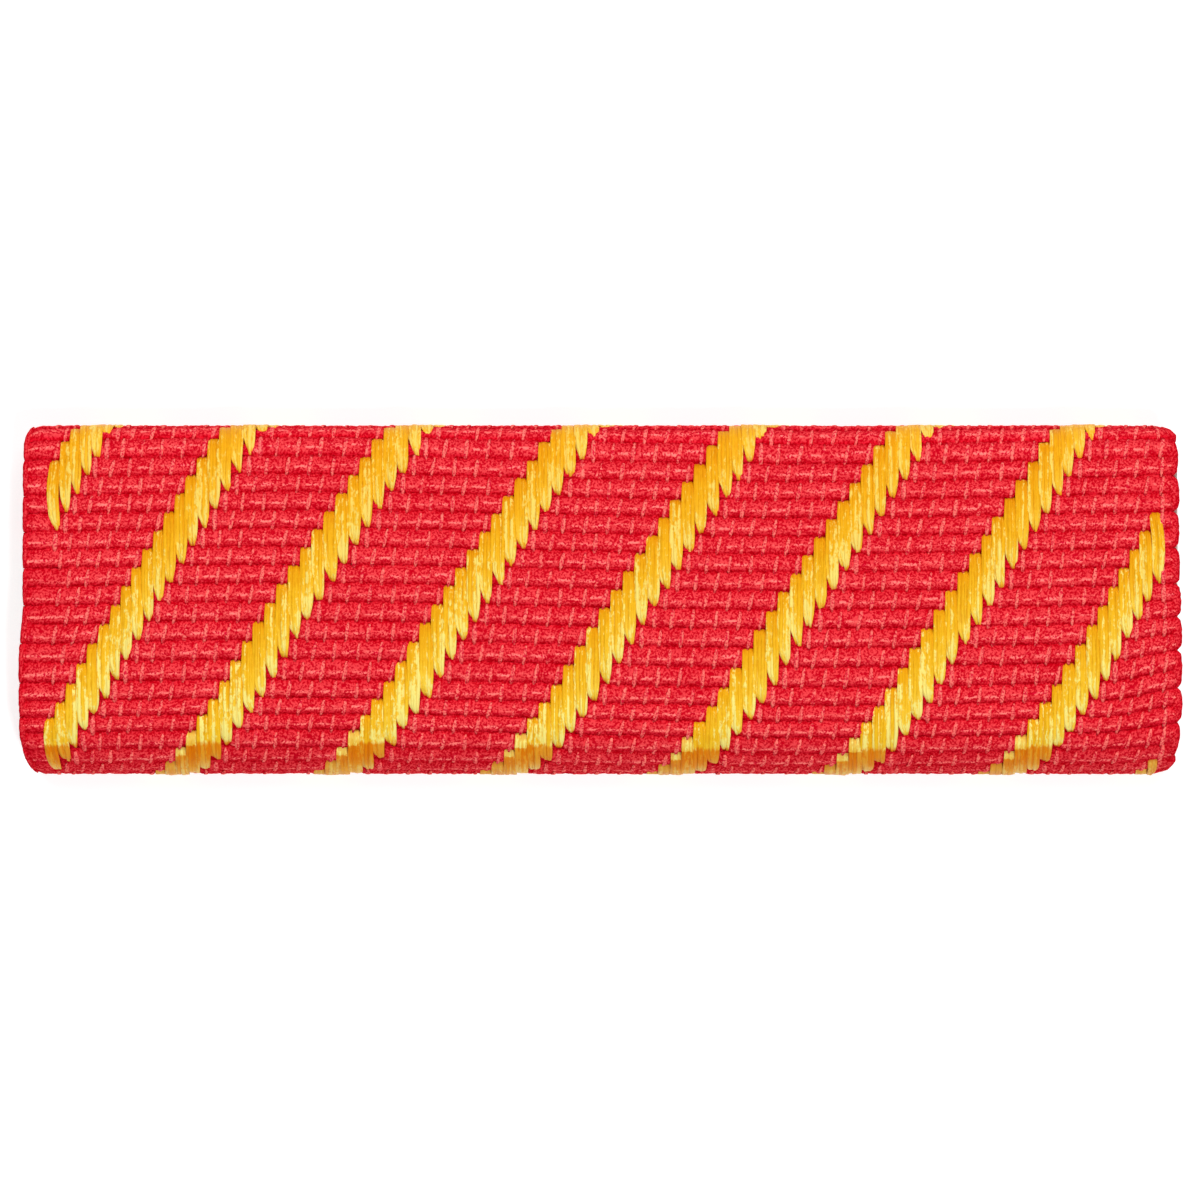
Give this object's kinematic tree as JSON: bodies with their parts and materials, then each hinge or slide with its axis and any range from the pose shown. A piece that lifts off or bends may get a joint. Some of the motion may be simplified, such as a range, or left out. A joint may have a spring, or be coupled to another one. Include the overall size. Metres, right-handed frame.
{
  "type": "ribbon bar",
  "caption": "Ribbon bar: a red woven ribbon with slanting yellow stripes, wound round a flat metal clip that slides onto a holder rail.",
  "frame": {"origin": "on the surface that the bar lies on, under the middle of its box", "axes": "+X along the bar, which is across the woven ribbon; +Y up the ribbon's height as it is worn; +Z out of its face"},
  "size_m": [0.0348, 0.0106, 0.0036],
  "materials": {
    "ribbon_cloth": "ribbed woven ribbon, matt red ground",
    "stripe_thread": "loose lengthwise yellow stripe threads, silky",
    "clip_metal": "thin pressed sheet, dull nickel plate"
  },
  "bodies": {
    "root": {"ribbon": "ribbon_cloth", "slide_clip": "clip_metal"}
  },
  "joints": []
}
